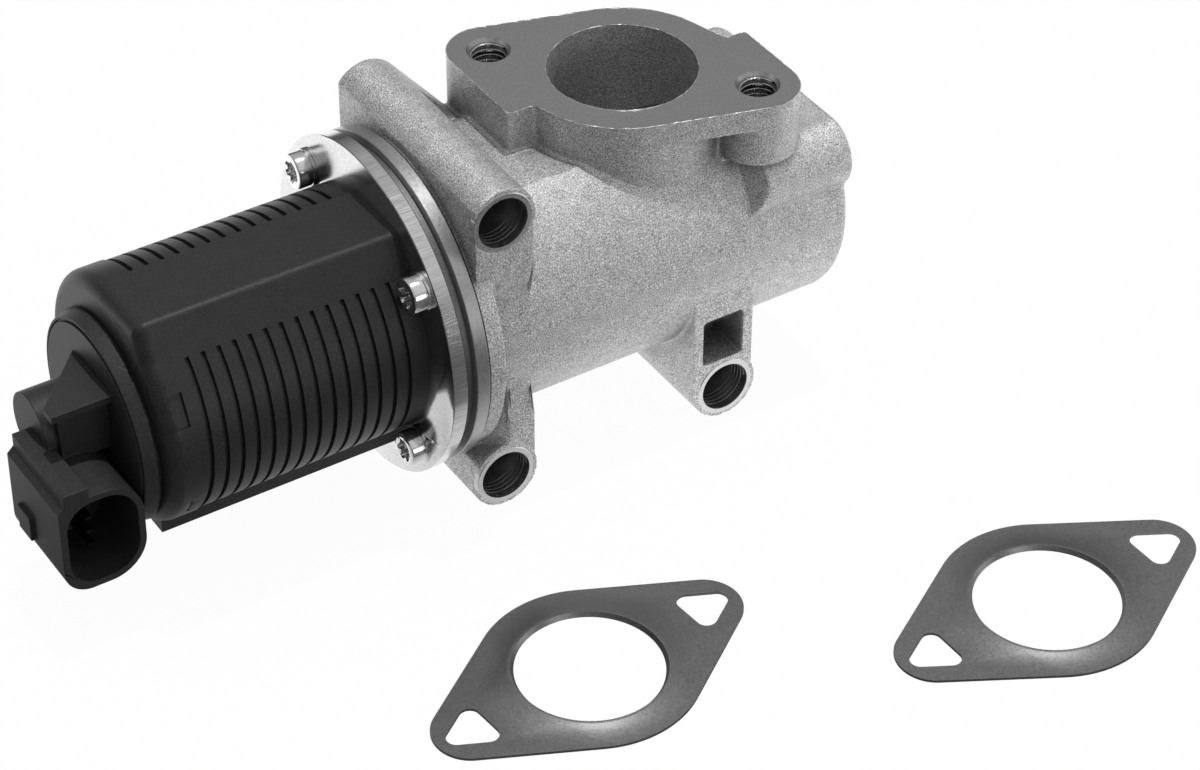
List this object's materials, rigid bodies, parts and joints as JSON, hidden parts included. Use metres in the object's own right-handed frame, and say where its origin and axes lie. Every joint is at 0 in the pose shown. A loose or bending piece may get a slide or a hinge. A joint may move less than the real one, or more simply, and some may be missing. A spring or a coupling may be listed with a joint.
{
  "type": "egr valve",
  "caption": "Exhaust gas recirculation valve: cast housing with top inlet flange and rear outlet, motor-driven poppet valve in a ribbed black cover with a plug socket, and loose port gaskets.",
  "frame": {"origin": "centre of the gas inlet's mouth, in the plane of the inlet flange's face", "axes": "+Z out of the inlet, X along the valve's own axis with the motor on the -X side, +Y out of the rear mounting face"},
  "size_m": [0.2131, 0.1737, 0.081],
  "materials": {
    "cast_alloy": "sand-cast and shot-blasted, faces machined",
    "turned_alloy": "turned satin",
    "plate_steel": "bright ground plate",
    "screw_steel": "bright zinc plated",
    "valve_steel": "machined",
    "spring_steel": "oil tempered",
    "gasket_steel": "pressed sheet, dull",
    "gasket_black": "coated sheet",
    "cover_black": "moulded, satin",
    "cap_black": "moulded, fine grain",
    "seal_rubber": "smooth",
    "bush_bronze": "sintered",
    "copper": "enamelled",
    "lamination": "stacked sheet",
    "magnet_grey": "ferrite",
    "carbon": "pressed carbon",
    "pin_metal": "tinned",
    "board_green": "lacquered board",
    "chip_black": "moulded",
    "brush_plate_tan": "moulded phenolic"
  },
  "bodies": {
    "root": {"valve_housing": "cast_alloy", "seat_ring": "valve_steel", "flange_gasket": "gasket_black", "adapter_flange": "turned_alloy", "stem_seal": "seal_rubber", "guide_bush": "bush_bronze", "spring_washer": "valve_steel", "return_spring": "spring_steel", "slotted_spacer": "turned_alloy", "clamp_plate": "plate_steel", "clamp_screws": "screw_steel", "front_plate": "valve_steel", "wave_washer": "spring_steel", "motor_can": "valve_steel", "motor_magnets": "magnet_grey", "front_bearing_ring": "screw_steel", "rear_bearing_ring": "screw_steel", "brush_plate": "brush_plate_tan", "carbon_brushes": "carbon", "brush_springs": "spring_steel", "motor_cover": "cover_black", "cover_seal": "seal_rubber", "end_cap": "cap_black", "cap_seal": "seal_rubber", "plug_pins": "pin_metal", "sensor_board": "board_green", "position_sensor": "chip_black", "port_gasket_1": "gasket_steel", "port_gasket_2": "gasket_steel"},
    "rotor": {"rotor_sleeve": "valve_steel", "lead_nut": "bush_bronze", "rotor_core": "lamination", "rotor_windings": "copper", "commutator": "copper", "front_bearing_race": "screw_steel", "rear_bearing_race": "screw_steel", "front_bearing_balls": "screw_steel", "rear_bearing_balls": "screw_steel"},
    "valve": {"valve_disc": "valve_steel", "valve_stem": "valve_steel", "spring_retainer": "valve_steel", "retainer_collet": "valve_steel", "lead_screw": "valve_steel", "cross_pin": "screw_steel", "position_magnet": "magnet_grey"}
  },
  "joints": [
    {"name": "rotor_spin", "type": "hinge", "parent": "root", "child": "rotor", "pos_m": [-0.09, 0, -0.0365], "axis": [1, 0, 0], "range_deg": [0, 630]},
    {"name": "valve_lift", "type": "slide", "parent": "root", "child": "valve", "axis": [1, 0, 0], "range_m": [0, 0.0071], "stiffness_N_per_m": 40, "springref_m": -0.012, "deforming": ["return_spring"]}
  ],
  "couplings": [
    {"joint": "valve_lift", "follows": "rotor_spin", "m_per_rad": 0.00063662}
  ]
}
